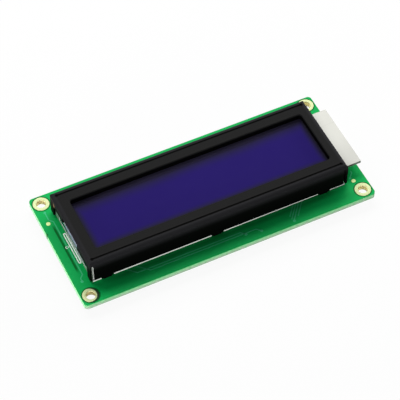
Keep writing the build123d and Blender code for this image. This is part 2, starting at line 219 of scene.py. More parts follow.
class BacklightSettings(bpy.types.PropertyGroup):
    """Backlight: white housing, films, guide and its own small board."""

    housing: colour("Housing", "White moulded plastic", 236, 238, 234)
    end: colour("Housing end", "Left end of the housing, green from the board beside it", 96, 126, 106)
    foot: colour("Foot", "Dark line where the housing meets the board", 40, 52, 42)
    tab: colour("Tab", "White lacquer of the small board", 196, 196, 188)
    tab_edge: colour("Tab edge", "Cut edge of the small board", 92, 100, 92)
    phosphor: colour("Phosphor", "Face of the diodes", 236, 214, 96)
    guide_end: colour("Guide end", "End of the clear guide, dark along its length", 26, 66, 66)


class PartsSettings(bpy.types.PropertyGroup):
    """Rear parts: epoxy caps, chip parts, solder and connectors."""

    epoxy: colour("Epoxy", "Black cap over a bonded chip", 22, 22, 24)
    solder: colour("Solder", "Bright solder and tinned ends", 196, 198, 200)
    resistor: colour("Resistor", "Black coat of a chip resistor", 28, 28, 30)
    capacitor: colour("Capacitor", "Ceramic of a chip capacitor", 176, 142, 104)
    rubber: colour("Rubber", "Silicone of the connector strips", 196, 150, 150)
    carbon: colour("Carbon", "Conducting layers in the connector strips", 34, 30, 32)


class StageSettings(bpy.types.PropertyGroup):
    """Floor, lamps and camera."""

    floor: colour("Floor", "Pale floor", 214, 214, 214)
    glow: fraction("Glow", "Share of the background's own white that the camera sees in the floor", 0.93)
    ambient: fraction("Ambient", "Strength of the white surroundings on the module", 0.15)
    azimuth: bearing("Azimuth", "Camera's direction round the module, from the front", -25.8)
    elevation: bearing("Elevation", "Camera's direction above the horizon", 52.0)
    distance: length("Distance", "From the camera to the point it looks at", 472.4)
    lens: bpy.props.FloatProperty(
        name="Lens", description="Focal length of the camera", unit="CAMERA", min=1, default=170.0
    )


# Surfaces: points are worked out as whole arrays, in millimetres


def grid_faces(rows, columns, wrap_rows=False, wrap_columns=False):
    """Four-sided faces over points numbered row by row, last joined to first where wrapped."""
    row = np.arange(rows if wrap_rows else rows - 1)
    column = np.arange(columns if wrap_columns else columns - 1)
    row, column = np.meshgrid(row, column, indexing="ij")
    next_row, next_column = (row + 1) % rows, (column + 1) % columns
    numbers = [row * columns + column, next_row * columns + column]
    numbers += [next_row * columns + next_column, row * columns + next_column]
    return np.stack(numbers, axis=-1).reshape(-1, 4)


def turned(profile, steps, closed=True):
    """A profile of (radius, height) pairs turned round the vertical axis: x = r cos a, y = r sin a, z = h."""
    profile = np.asarray(profile, float)
    angle = np.linspace(0, 2 * math.pi, steps, endpoint=False)[:, None]
    radius, height = profile[:, 0], profile[:, 1]
    points = np.stack([radius * np.cos(angle), radius * np.sin(angle), height + 0 * angle], axis=-1)
    return points.reshape(-1, 3), grid_faces(steps, len(profile), wrap_rows=True, wrap_columns=closed)


def copies(surface, places):
    """The surface once at each place: every point is the surface's point plus the place."""
    points, faces = surface
    places = np.asarray(places, float)
    moved = (places[:, None, :] + points[None, :, :]).reshape(-1, 3)
    numbers = faces[None, :, :] + len(points) * np.arange(len(places))[:, None, None]
    return moved, numbers.reshape(-1, faces.shape[1])


def joined(surfaces):
    """Several surfaces as one, each one's faces counted on from the points before it."""
    starts = np.cumsum([0] + [len(points) for points, _ in surfaces[:-1]])
    points = np.concatenate([points for points, _ in surfaces])
    return points, np.concatenate([faces + start for (_, faces), start in zip(surfaces, starts)])


def strip(path, width, low, high, closed=False):
    """A flat bar along a path of (x, y) points, with mitred corners.

    At each point the sides lie at p plus or minus w/2 (n1 + n2) / (1 + n1.n2), with n1 and n2 the
    normals of the two runs that meet there.
    """
    path = np.asarray(path, float)
    runs = np.roll(path, -1, axis=0) - path
    if not closed:
        runs[-1] = runs[-2]
    runs /= np.linalg.norm(runs, axis=1, keepdims=True)
    after = np.stack([-runs[:, 1], runs[:, 0]], axis=1)
    before = np.roll(after, 1, axis=0)
    if not closed:
        before[0] = after[0]
    side = (before + after) / (1 + (before * after).sum(axis=1, keepdims=True)) * width / 2
    level = np.ones((len(path), 1))
    rings = [
        np.hstack([path + side, low * level]),
        np.hstack([path + side, high * level]),
        np.hstack([path - side, high * level]),
        np.hstack([path - side, low * level]),
    ]
    points = np.stack(rings, axis=1).reshape(-1, 3)
    faces = grid_faces(len(path), 4, wrap_rows=closed, wrap_columns=True)
    if not closed:
        last = 4 * (len(path) - 1)
        faces = np.vstack([faces, [[0, 1, 2, 3]], [[last + 3, last + 2, last + 1, last]]])
    return points, faces


def joined_runs(runs):
    """Several pairs of track paths and vias as one pair."""
    return sum((paths for paths, _ in runs), []), sum((vias for _, vias in runs), [])


def arc(centre, radius, start, end, steps):
    """Points on a circle from the start angle to the end angle, in degrees."""
    angle = np.radians(np.linspace(start, end, steps))
    return np.stack([centre[0] + radius * np.cos(angle), centre[1] + radius * np.sin(angle)], axis=1)


def make_piece(name, surface, finish, replaces=()):
    """Link a surface as a piece that rides on the one body, its seams welded and its faces outwards."""
    points, faces = surface
    mesh = bpy.data.meshes.new(name)
    mesh.from_pydata((points * MM).tolist(), [], faces.tolist())
    work = bmesh.new()
    work.from_mesh(mesh)
    bmesh.ops.remove_doubles(work, verts=work.verts, dist=WELD)
    bmesh.ops.recalc_face_normals(work, faces=work.faces)
    work.to_mesh(mesh)
    work.free()
    mesh.polygons.foreach_set("use_smooth", [True] * len(mesh.polygons))
    mesh.set_sharp_from_angle(angle=SHARP)
    mesh.materials.append(finish)
    piece = bpy.data.objects.new(name, mesh)
    bpy.context.scene.collection.objects.link(piece)
    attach(piece, "root")
    if replaces:
        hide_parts(*replaces)


def finish_nodes(finish, *nodes):
    """Give packed nodes their material."""
    for node in nodes:
        mesh = frame["nodes"][node].data
        mesh.materials.clear()
        mesh.materials.append(finish)


# Materials


class Value:
    """A node socket that adds a Math node whenever it is used in arithmetic."""

    __array_ufunc__ = None  # a numpy number on the left leaves the arithmetic to this class

    def __init__(self, nodes, socket):
        self.nodes = nodes
        self.socket = socket

    def maths(self, operation, first, second=0.0):
        return self.nodes.add("ShaderNodeMath", {"operation": operation}, {0: first, 1: second})

    def __add__(self, other):
        return self.maths("ADD", self, other)

    def __radd__(self, other):
        return self.maths("ADD", other, self)

    def __sub__(self, other):
        return self.maths("SUBTRACT", self, other)

    def __rsub__(self, other):
        return self.maths("SUBTRACT", other, self)

    def __mul__(self, other):
        return self.maths("MULTIPLY", self, other)

    def __rmul__(self, other):
        return self.maths("MULTIPLY", other, self)

    def __abs__(self):
        return self.maths("ABSOLUTE", self)

    def __gt__(self, other):
        return self.maths("GREATER_THAN", self, other)

    def __lt__(self, other):
        return self.maths("LESS_THAN", self, other)

    def least(self, other):
        return self.maths("MINIMUM", self, other)

    def most(self, other):
        return self.maths("MAXIMUM", self, other)


class Nodes:
    """The node tree of a material or of the world."""

    def __init__(self, tree):
        self.tree = tree

    def add(self, kind, settings, inputs, output=0):
        """A node of that type, with its settings made first and then its sockets filled or linked."""
        node = self.tree.nodes.new(kind)
        for key, value in settings.items():
            setattr(node, key, value)
        for key, value in inputs.items():
            self.fill(node.inputs[key], value)
        return Value(self, node.outputs[output]) if node.outputs else None

    def fill(self, socket, value):
        """Link a value to a socket, or set the socket's own number or colour."""
        if isinstance(value, Value):
            self.tree.links.new(value.socket, socket)
        elif socket.type == "RGBA":
            socket.default_value = (*tuple(value)[:3], 1)
        else:
            socket.default_value = value

    def seen(self):
        """1 where a ray comes from the camera, a reflection or a refraction, and 0 for plain lighting."""
        rays = self.add("ShaderNodeLightPath", {}, {}).socket.node.outputs
        names = ("Is Camera Ray", "Is Glossy Ray", "Is Transmission Ray")
        camera, glossy, through = (Value(self, rays[name]) for name in names)
        return camera.most(glossy).most(through)


class Finish(Nodes):
    """A node material round one Principled shader."""

    def __init__(self, name, **constants):
        self.material = bpy.data.materials.new(name)
        self.material.use_nodes = True
        super().__init__(self.material.node_tree)
        self.shader = self.tree.nodes["Principled BSDF"]
        self.spot = self.add("ShaderNodeTexCoord", {}, {}, "Object")
        for key, value in constants.items():
            self.set(key.replace("_", " ").title().replace("Ior", "IOR"), value)

    def set(self, socket, value):
        """Fill one of the shader's sockets."""
        self.fill(self.shader.inputs[socket], value)

    def axes(self):
        """The x, y and z of the surface point, in millimetres."""
        parts = self.add("ShaderNodeSeparateXYZ", {}, {0: self.spot}).socket.node
        return [Value(self, output) * (1 / MM) for output in parts.outputs]

    def noise(self, size, detail=2.0, stretch=(1, 1, 1)):
        """Noise from 0 to 1 whose lumps are about size millimetres across, drawn out by stretch."""
        scale = tuple(1 / (MM * size * s) for s in stretch)
        spot = self.add("ShaderNodeMapping", {}, {"Vector": self.spot, "Scale": scale})
        return self.add("ShaderNodeTexNoise", {}, {"Vector": spot, "Scale": 1.0, "Detail": detail})

    def step(self, value, low, high):
        """A smooth rise from 0 at low to 1 at high."""
        settings = {"interpolation_type": "SMOOTHSTEP"}
        return self.add("ShaderNodeMapRange", settings, {0: value, 1: low, 2: high, 3: 0.0, 4: 1.0})

    def fade(self, value, low, high):
        """A smooth fall from 1 at low to 0 at high."""
        return 1 - self.step(value, low, high)

    def disc(self, across, along, low, high):
        """1 on a round spot, whose edge fades out as the squared distance goes from low to high."""
        return self.fade(across * across + along * along, low, high)

    def blend(self, share, first, second):
        """The first colour where share is 0 and the second where it is 1."""
        return self.add("ShaderNodeMix", {"data_type": "RGBA"}, {0: share, 6: first, 7: second}, 2)

    def bump(self, height, distance, strength=1.0):
        """Raise the surface by height times distance in millimetres, in shading only."""
        inputs = {"Height": height, "Distance": distance * MM, "Strength": strength}
        self.set("Normal", self.add("ShaderNodeBump", {}, inputs, "Normal"))


def shade(tint, factor):
    """A colour times a number."""
    return tuple(min(1.0, v * factor) for v in tint)


def solder_mask(settings, name, tint):
    """Green lacquer over copper pours, darker where the copper is etched away, with a pale cut edge."""
    finish = Finish(name, specular_ior_level=0.03)
    x, y, z = finish.axes()
    cloud = finish.noise(9, 3)
    face = finish.blend(finish.step(cloud, 0.35, 0.65), shade(tint, 0.92), tint)
    # bare laminate in a gap beside the housing's left end and in a ring round each corner pad
    display_face = z > board_top - 0.1
    gap_x, gap_end = bezel_low[0] - 1.4, 6.5
    gap = finish.fade(abs(x - gap_x), 0.16, 0.42) * finish.fade(abs(y), gap_end, gap_end + 2.0)
    gap = gap * display_face
    from_x = abs(x - screw_middle[0]) - screw_half[0]
    from_y = abs(y - screw_middle[1]) - screw_half[1]
    ring = finish.disc(from_x, from_y, 2.3**2, 2.5**2)
    face = finish.blend(gap.most(ring), face, shade(settings.mask_deep, 0.6))
    # painted shade: the display face is darkened along the front wall, short of its ends, standing in for the
    # wall's shadow and its dark reflection in the lacquer
    ahead = bezel_low[1] - y
    painted_wall_shade = (0.58 - 0.36 * finish.step(ahead, 1.0, 2.4)) * (ahead > -2.0) * display_face
    painted_wall_shade = painted_wall_shade * finish.step(x, -34.0, -27.0) * finish.fade(x, 27.0, 35.0)
    face = finish.blend(painted_wall_shade, face, shade(settings.mask_deep, 0.12))
    # the cut edge, greyer in its lower half, with the weave's fibres
    fibre = finish.step(finish.noise(0.9, 2, (1, 1, 0.4)), 0.3, 0.7)
    upper_half = finish.step(z, board_bottom + 0.5, board_bottom + 0.9)
    cut = finish.blend(upper_half, settings.edge_low, settings.edge)
    cut = finish.blend(fibre, shade(settings.edge, 0.72), cut)
    # painted light: the cut edge at the left end is paler, standing in for stronger light from the left
    cut = finish.blend(x < board_low[0] + 0.05, cut, shade(settings.edge, 1.35))
    # the lacquer laps a little way over both arrises, further over the lower one
    depth = (board_top - z).least((z - board_bottom) * 3.0)
    inside = finish.step(depth, 0.05, 0.35)
    # a spot on the left edge where the board was snapped from its panel
    snap_y = 5.9
    snapped = finish.disc(x - board_low[0], y - snap_y, 0.06, 0.3)
    tint = finish.blend(inside, face, cut)
    finish.set("Base Color", finish.blend(0.65 * snapped, tint, shade(settings.mask_deep, 0.3)))
    finish.set("Roughness", 0.45 + 0.3 * inside)
    weave = finish.noise(0.45, 1)
    finish.bump(weave - 0.6 * gap, 0.012, 0.35)
    return finish.material


def gold_plate(settings):
    """Thin pale gold, paler inside the holes as painted light, with a dark crescent on the front left pad."""
    finish = Finish("gold_plate", specular_ior_level=0.2)
    x, y, z = finish.axes()
    scuff = finish.noise(0.7, 3)
    depth = (board_top - z).least(z - board_bottom)
    barrel = finish.step(depth, 0.02, 0.12)
    pad = finish.blend(scuff, shade(settings.gold, 0.86), settings.gold)
    # the dark crescent is what a round spot, set off from the hole, leaves of the pad
    spot_x, spot_y = screw_middle[:2] - screw_half + (-0.42, 0.1)
    from_x, from_y = x - spot_x, y - spot_y
    on_pad = (abs(from_x) < 3.0) * (abs(from_y) < 3.0) * (z > board_top)
    chip = (1 - finish.disc(from_x, from_y, 1.9**2, 2.04**2)) * on_pad
    pad = finish.blend(chip, pad, shade(settings.mask_deep, 0.1))
    # painted light: the plating inside the holes is paler than on the pads, standing in for light seen in the
    # holes
    finish.set("Base Color", finish.blend(barrel, pad, settings.barrel))
    finish.set("Metallic", 0.28 - 0.28 * barrel.most(chip))
    finish.set("Roughness", 0.5 + 0.2 * scuff)
    finish.bump(finish.noise(0.25, 1), 0.01, 0.3)
    return finish.material


def white_ink(settings):
    """Screen-printed ink with ragged cover that lets a little green through."""
    finish = Finish("white_ink", roughness=0.55, specular_ior_level=0.3)
    cover = finish.step(finish.noise(0.3, 2), 0.2, 0.55)
    finish.set("Base Color", finish.blend(cover, shade(settings.ink, 0.8), settings.ink))
    return finish.material


def black_paint(settings):
    """Satin black paint with a fine orange peel, with a painted sheen on the top face and along the folds."""
    finish = Finish("black_paint", specular_ior_level=0.025)
    x, y, z = finish.axes()
    peel = finish.noise(0.35, 2)
    mottle = finish.noise(6, 3)
    half_x, half_y, top = bezel_high - (bezel_x, 0, 0)
    from_middle = abs(x - bezel_x)
    near_fold = (half_x - from_middle).least(half_y - abs(y))
    fold = finish.fade(near_fold, 0.8, 1.4) * finish.step(z, top - 3.0, top - 0.2)
    on_top = finish.step(z, top - 0.5, top - 0.05)
    # painted shade: a crease along each long edge, with a pit at its ends, stays black among the top face's
    # grey
    width = settings.crease_width / MM
    across = abs(abs(y) - (half_y - settings.crease_inset / MM))
    along = from_middle - (half_x - settings.crease_end / MM)
    groove = finish.fade(across, 0.3 * width, 0.6 * width) * (along < 0.0)
    crease = (0.8 * groove).most(finish.disc(across, along, 0.08, 0.3)) * on_top
    # painted sheen: the top face is a lighter grey than the black walls, standing in for the lamp's sheen on
    # it
    face = finish.blend(mottle, shade(settings.face, 0.85), shade(settings.face, 1.15))
    paint = finish.blend(on_top * (1 - crease), settings.paint, face)
    # painted sheen: grey over the folds and the walls' upper edges, standing in for light caught on the bends
    painted_sheen_share = fold * (1 - crease) * (0.75 + 0.25 * mottle)
    paint = finish.blend(painted_sheen_share, paint, settings.painted_fold_sheen)
    # painted reflection: a tan spot on the left wall, behind the notch, stands in for the back left pad's
    # gold seen in the paint
    reflection_y, reflection_z = 9.9, board_top + 5.0
    chip = finish.disc(y - reflection_y, 0.6 * (z - reflection_z), 0.08, 0.32) * (x < bezel_low[0] + 0.1)
    finish.set("Base Color", finish.blend(chip, paint, settings.chip))
    finish.set("Roughness", settings.roughness + 0.12 * mottle + 0.25 * crease)
    finish.bump(peel, 0.01, 0.4)
    return finish.material


def screen_film(settings):
    """Dark blue film, darker and greyer towards the window's rim, with a soft matt sheen."""
    finish = Finish("screen_film", specular_ior_level=0.03)
    x, y, _ = finish.axes()
    middle = (film_low + film_high) / 2
    overlap = 1.2  # how far the rim covers the film
    reach_x, reach_y = (film_high - middle)[:2] - overlap
    # partly the cell's dark border and partly painted shade: the film darkens and greys towards the rim,
    # standing in for the rim's shadow and its reflection in the film
    near_side = (reach_x - abs(x - middle[0])).least(reach_y - 0.4 + y)
    near_rim = near_side.least(0.5 * (reach_y - y))
    drift = finish.noise(22, 1)
    inner = finish.step(near_rim + 0.8 * (drift - 0.5), 0.0, 2.4)
    film = finish.blend(drift, shade(settings.film, 0.93), shade(settings.film, 1.05))
    # painted light: under the back rim the border is lighter, offsetting the rim's cast shadow there
    back = finish.step(y, reach_y - 1.4, reach_y - 0.6)
    border = finish.blend(back, settings.border, settings.border_back)
    finish.set("Base Color", finish.blend(inner, border, film))
    finish.set("Roughness", 0.55 + 0.1 * finish.noise(3, 2))
    finish.bump(finish.noise(0.12, 1), 0.004, 0.3)
    return finish.material


def plain(name, tint, roughness=0.5, specular=0.3, grain=0.5, spread=0.1, depth=0.006, **constants):
    """A tint that drifts a little from place to place over a fine grain."""
    finish = Finish(name, specular_ior_level=specular, **constants)
    drift = finish.noise(grain * 8, 2)
    finish.set("Base Color", finish.blend(drift, shade(tint, 1 - spread), shade(tint, 1 + spread / 3)))
    finish.set("Roughness", roughness + 0.12 * (drift - 0.5))
    finish.bump(finish.noise(grain, 1), depth, 0.4)
    return finish.material


def housing_plastic(settings):
    """White moulded plastic, with painted shade and green bounce light at its left end, and a painted shadow
    line where it meets the board.
    """
    finish = Finish("white_plastic", specular_ior_level=0.3)
    x, _, z = finish.axes()
    drift = finish.noise(4, 2)
    white = finish.blend(drift, shade(settings.housing, 0.95), shade(settings.housing, 1.02))
    # painted shade: the left end is dim and green, standing in for the bezel's shade and light bounced off
    # the board
    end = finish.fade(x, housing_low[0] + 0.02, housing_low[0] + 0.12)
    # painted shadow: a dark line under the front lip where the housing meets the board, taller towards the
    # right
    rise = 0.06 + 0.16 * finish.step(x, -8.0, 28.0)
    foot = finish.fade(z - board_top - rise, 0.0, 0.06)
    tint = finish.blend(end, finish.blend(foot, white, settings.foot), settings.end)
    finish.set("Base Color", tint)
    finish.set("Roughness", 0.45 + 0.12 * (drift - 0.5))
    finish.bump(finish.noise(0.5, 1), 0.006, 0.4)
    return finish.material


def guide_acrylic(settings):
    """Clear acrylic with rows of white dots on its rear face that throw the light forwards."""
    finish = Finish("guide_acrylic", specular_ior_level=0.3)
    x, _, z = finish.axes()
    rows = 900  # dots to a metre
    spot = finish.add("ShaderNodeMapping", {}, {"Vector": finish.spot, "Scale": (rows, rows, 0)})
    cells = {"Vector": spot, "Scale": 1.0, "Randomness": 0.0}
    from_dot = finish.add("ShaderNodeTexVoronoi", {}, cells, "Distance")
    dot = finish.fade(from_dot, 0.22, 0.3) * (z < guide_low[2] + 0.05)
    half = (guide_high[0] - guide_low[0]) / 2
    # painted shade: the guide's ends are dark teal, standing in for shade and the board's green reflected in
    # the clear acrylic
    end = abs(x - (guide_low[0] + half)) > half - 0.02
    face = finish.blend(dot, shade(settings.housing, 0.86), (1, 1, 1))
    finish.set("Base Color", finish.blend(end, face, settings.guide_end))
    finish.set("Roughness", 0.15 + 0.5 * dot)
    return finish.material


def elastomer(settings):
    """Pale silicone with fine black conducting layers across a strip's length."""
    finish = Finish("elastomer", roughness=0.6, specular_ior_level=0.3)
    _, y, _ = finish.axes()
    bands = {"wave_type": "BANDS", "bands_direction": "X"}
    waves = {"Vector": finish.spot, "Scale": 900.0, "Distortion": 0.0}
    layer = finish.add("ShaderNodeTexWave", bands, waves, "Fac")
    middle = glass_high[1] - 1.05  # a strip's own line, under the glass's long edge
    core = finish.fade(abs(abs(y) - middle), 0.3, 0.36)
    carbon = finish.step(layer, 0.45, 0.55) * core
    finish.set("Base Color", finish.blend(carbon, settings.rubber, settings.carbon))
    finish.bump(layer, 0.01, 0.5)
    return finish.material


def led_body(settings):
    """White moulded bodies whose face towards the guide is yellow phosphor."""
    finish = Finish("led_body", roughness=0.45)
    x, _, _ = finish.axes()
    low, _ = corners("led_chips")
    face = x < low[0] + 0.05
    finish.set("Base Color", finish.blend(face, settings.housing, settings.phosphor))
    finish.set("Roughness", 0.5 - 0.2 * face)
    return finish.material


def tab_lacquer(settings):
    """White lacquer on the backlight's board, with faint copper shapes under it."""
    finish = Finish("led_board_white", specular_ior_level=0.3)
    x, y, z = finish.axes()
    half = tab_high[1]
    pour = finish.step(abs(abs(y) - half / 2), 0.0, 0.18) * finish.step(half - abs(y), 0.3, 0.45)
    cloud = finish.noise(5, 2)
    tint = finish.blend(pour, shade(settings.tab, 0.95), settings.tab)
    side = (z < tab_high[2] - 0.01) * (z > tab_low[2] + 0.01)
    # painted highlight: a bright strip beside the bezel's wall; painted shade: dimmer towards the front
    beside = finish.fade(x, bezel_high[0] + 0.35, bezel_high[0] + 0.5)
    tint = finish.blend(beside, tint, shade(settings.tab, 1.5))
    tint = finish.blend(0.1 * cloud, tint, shade(settings.tab, 0.86))
    front = finish.fade(y, tab_low[1], 1.0)
    tint = finish.blend(front, tint, shade(settings.tab, 0.84))
    # partly the cut edge's own colour and partly painted shade: the sides are darkened
    finish.set("Base Color", finish.blend(side, tint, settings.tab_edge))
    finish.set("Roughness", 0.4 + 0.1 * cloud)
    finish.bump(pour, 0.02, 0.5)
    return finish.material


def cell_glass(settings):
    """Clear glass with a ground edge that scatters a little."""
    finish = Finish("cell_glass", ior=1.52, transmission_weight=0.55, specular_ior_level=0.5)
    grind = finish.noise(0.2, 2)
    finish.set("Base Color", finish.blend(grind, shade(settings.glass, 0.9), settings.glass))
    finish.set("Roughness", 0.25 + 0.25 * grind)
    return finish.material


# Operators, one for each piece or group of like pieces


class DISPLAY_OT_board(bpy.types.Operator):
    """Finish the circuit board and add its copper tracks and vias on both faces"""

    bl_idname = "display.board"
    bl_label = "Board and tracks"

    def execute(self, context):
        settings = context.scene.display_board
        finish_nodes(solder_mask(settings, "solder_mask", settings.mask), "pcb")
        raised = solder_mask(settings, "solder_mask_tracks", settings.track)
        rear = joined_runs([self.header_tracks(settings), self.cap_tracks(), self.feeds(settings)])
        self.lay("rear", board_bottom, -1, rear, settings, raised)
        self.lay("front", board_top, 1, self.front(), settings, raised)
        return {"FINISHED"}

    def header_tracks(self, settings):
        """From the header's left half to the first cap, and from its other holes to vias."""
        paths, vias = [], []
        start_y = header_middle[1] - 0.8
        bend = header_middle[1] - 2.4
        split = cap_middles[0][0] + 4.2
        row = header_row(settings)
        left = row[row < split]
        landing = cap_middles[0][0] + spaced(len(left), 0.85)
        for start, end in zip(left, landing):
            stop = cap_middles[0][1] + under_cap(end - cap_middles[0][0])
            paths.append([(start, start_y), (start, bend), (end, bend - abs(start - end)), (end, stop)])
        for i, start in enumerate(row[row >= split]):  # vias in two rows, turn about
            end = header_middle[1] - 2.2 - 0.7 * (i % 2)
            paths.append([(start, start_y), (start, end)])
            vias.append((start, end))
        return paths, vias

    def cap_tracks(self):
        """A bus from cap to cap, a fan from each to vias, and tracks to the parts beside them."""
        paths, vias = [], []
        lane_pitch = 0.8
        (left_x, left_y), (right_x, right_y) = cap_middles
        for lane in spaced(8, lane_pitch):
            reach = under_cap(lane)
            paths.append([(left_x + reach, left_y + lane), (right_x - reach, left_y + lane)])
        for x, y in cap_middles:
            for i, across in enumerate(spaced(17, lane_pitch)):
                foot = 1.35 * across
                end = board_low[1] + 4.2 + 1.1 * (i % 2)
                slant = abs(foot - across)
                bend = end + 1.2 + slant
                paths.append([(x + across, y - under_cap(across)), (x + across, bend),
                              (x + foot, bend - slant), (x + foot, end)])
                vias.append((x + foot, end))
        for y in (capacitors_low[1] + 0.6, capacitors_high[1] - 0.6):
            paths.append([(capacitors_high[0] + 0.7, y), (left_x - under_cap(y - left_y), y)])
        for y in np.linspace(jumpers_low[1] + 0.6, jumpers_high[1] - 0.6, 3):
            paths.append([(right_x + under_cap(y - right_y), y), (jumpers_low[0] + 0.1, y)])
        return paths, vias

    def feeds(self, settings):
        """The backlight's two feeds, from its pins round to vias beside the header."""
        paths, vias = [], []
        corner = 0.8  # every turn is cut off by this much
        end = header_row(settings)[-1] + 2.2
        for side, drop, lane in ((1, 5.4, 3.8), (-1, 4.2, 4.6)):
            drop = jumpers_high[0] + drop
            lane = header_middle[1] - lane
            y = side * pin_y
            paths.append([(pin_x - 0.9, y), (drop + corner, y), (drop, y + corner), (drop, lane - corner),
                          (drop - corner, lane), (end + corner, lane), (end, lane + corner)])
            vias.append((end, lane + corner))
        return paths, vias

    def front(self):
        """A few tracks leave the housing on the display face and turn along the board's long edge."""
        paths, vias = [], []
        wall = bezel_low[1] + 0.4
        # four slant away from the wall, beside a via
        for x, reach in ((19.3, 3.0), (20.1, 3.9), (20.9, 4.5), (21.8, 3.6)):
            foot = bezel_low[1] - reach
            paths.append([(x + 0.8 * (wall - bezel_low[1]), wall), (x - 0.8 * reach, foot)])
        vias.append((17.3, bezel_low[1] - 4.6))
        # two run along the board's long edge
        for start, end, inset in ((-27.0, 3.5, 3.7), (-24.5, 7.5, 3.0)):
            lane = board_low[1] + inset
            paths.append([(start, wall), (start + wall - lane, lane), (end, lane), (end + 0.9, lane - 0.9)])
            vias.append((end + 1.1, lane - 1.1))
        # one runs along the housing's left end, and a short one in front of the tab
        left = housing_low[0] - 1.35
        paths.append([(left - 0.9, 12.2), (left - 0.9, 10.0), (left, 9.0), (left, -9.0),
                      (left - 0.9, -9.9), (left - 0.9, -10.6)])
        vias += [(left - 0.9, 12.5), (left - 0.9, -10.9)]
        right = (board_high[0] + bezel_high[0]) / 2 + 0.4
        paths.append([(right - 1.2, -10.6), (right - 0.2, -9.6), (right - 0.2, tab_low[1] + 0.6)])
        vias.append((right - 1.4, -10.9))
        return paths, vias

    def lay(self, side, face, out, runs, settings, finish):
        """Bars along the tracks, and a low disc with a dimple at each via, on one face of the board.

        out is 1 on the display face and -1 on the rear.
        """
        paths, vias = runs
        foot, top = face - out * SINK, face + out * settings.track_height / MM
        bars = [strip(path, settings.track_width / MM, min(foot, top), max(foot, top)) for path in paths]
        make_piece(f"{side}_tracks", joined(bars), finish)
        top = top + out * 0.01
        dimple = top + 0.6 * (foot - top)
        profile = [(0.0, dimple), (0.12, dimple), (0.2, top), (0.32, top), (0.38, foot)]
        discs = copies(turned(profile, 16, closed=False), [(x, y, 0) for x, y in vias])
        make_piece(f"{side}_vias", discs, finish)


class DISPLAY_OT_plating(bpy.types.Operator):
    """Turn the plated holes as round pieces with soft lips, and finish the bare marks and contacts"""

    bl_idname = "display.plating"
    bl_label = "Plated holes"

    def execute(self, context):
        settings = context.scene.display_board
        gold = gold_plate(settings)
        signs = [(sx, sy) for sx in (-1, 1) for sy in (-1, 1)]
        corner_places = [(*(screw_middle[:2] + screw_half * sign), 0) for sign in signs]
        header_places = [(x, header_middle[1], 0) for x in header_row(settings)]
        bore = screw["dims"]["hole_r_mm"]
        self.rings("corner_hole_rings", corner_places, bore, 2.1, 64, gold, "mounting_hole_plating")
        self.rings("header_hole_rings", header_places, 0.5, 0.9, 32, gold, "header_hole_plating")
        self.rings("backlight_hole_rings", pin_places, 0.45, 1.0, 32, gold, "backlight_hole_plating")
        mark = plain("bare_mark", settings.mark, roughness=0.5, specular=0.15, grain=0.2, spread=0.06)
        finish_nodes(mark, "optical_marks")
        finish_nodes(gold, "display_contacts")
        return {"FINISHED"}

    def rings(self, name, places, bore, pad, steps, finish, node):
        """A rivet's section turned round each hole: bore, rounded lips and a pad on both faces."""
        proud = 0.05
        low, high = board_bottom - proud, board_top + proud
        lip = 0.06
        bend = arc((bore + lip, high - lip), lip, 180, 90, 5)
        rim = arc((pad - proud, high - proud), proud, 90, 0, 4)
        upper = np.vstack([bend, rim, [(pad, board_top), (bore + lip + 0.01, board_top)]])
        lower = upper[::-1] * (1, -1) + (0, low + high)
        section = np.vstack([upper, lower])
        make_piece(name, copies(turned(section, steps), places), finish, [node])


class DISPLAY_OT_print(bpy.types.Operator):
    """Print the white outline beside the housing and the small ring next to it"""

    bl_idname = "display.print"
    bl_label = "White print"

    def execute(self, context):
        settings = context.scene.display_board
        low, high = board_top - SINK, board_top + settings.ink_height / MM
        line, thin_line = 0.28, 0.16
        x, half = housing_low[0] - 0.42, 0.27
        back, front = 4.4, -5.6
        outline = np.vstack([
            arc((x, back - half), half, 0, 180, 9),
            arc((x, front + half), half, 180, 360, 9),
        ])
        ring = arc((x - 1.0, 0.2), 0.36, 0, 345, 24)
        bars = [strip(outline, line, low, high, closed=True)]
        bars.append(strip(ring, thin_line, low, high, closed=True))
        make_piece("outline_print", joined(bars), white_ink(settings))
        return {"FINISHED"}


class DISPLAY_OT_bezel(bpy.types.Operator):
    """Paint the folded bezel"""

    bl_idname = "display.bezel"
    bl_label = "Bezel"

    def execute(self, context):
        finish_nodes(black_paint(context.scene.display_bezel), "bezel")
        return {"FINISHED"}


class DISPLAY_OT_cell(bpy.types.Operator):
    """Finish the display cell: films, glass, sealant and the resin on its filling port"""

    bl_idname = "display.cell"
    bl_label = "Display cell"

    def execute(self, context):
        settings = context.scene.display_screen
        finish_nodes(screen_film(settings), "front_polarizer")
        rear_film = plain("rear_film", shade(settings.film, 0.6), roughness=0.4)
        finish_nodes(rear_film, "rear_polarizer")
        finish_nodes(cell_glass(settings), "front_glass", "rear_glass")
        sealant = plain("cell_sealant", shade(settings.resin, 0.7), roughness=0.6)
        finish_nodes(sealant, "cell_seal")
        resin = plain("port_resin", settings.resin, roughness=0.35, depth=0.02)
        finish_nodes(resin, "fill_port_seal")
        return {"FINISHED"}


class DISPLAY_OT_backlight(bpy.types.Operator):
    """Finish the backlight: housing, films, guide, diodes and their board"""

    bl_idname = "display.backlight"
    bl_label = "Backlight"

    def execute(self, context):
        settings = context.scene.display_backlight
        solder = context.scene.display_parts.solder
        finish_nodes(housing_plastic(settings), "backlight_frame")
        film = plain("white_film", settings.housing, roughness=0.4, grain=0.2, spread=0.03)
        finish_nodes(film, "reflector_film", "diffuser_film")
        finish_nodes(guide_acrylic(settings), "light_guide")
        finish_nodes(tab_lacquer(settings), "led_board")
        finish_nodes(led_body(settings), "led_chips")
        wire = plain("tinned_wire", solder, roughness=0.3, specular=0.5, metallic=0.9)
        finish_nodes(wire, "backlight_pins")
        return {"FINISHED"}


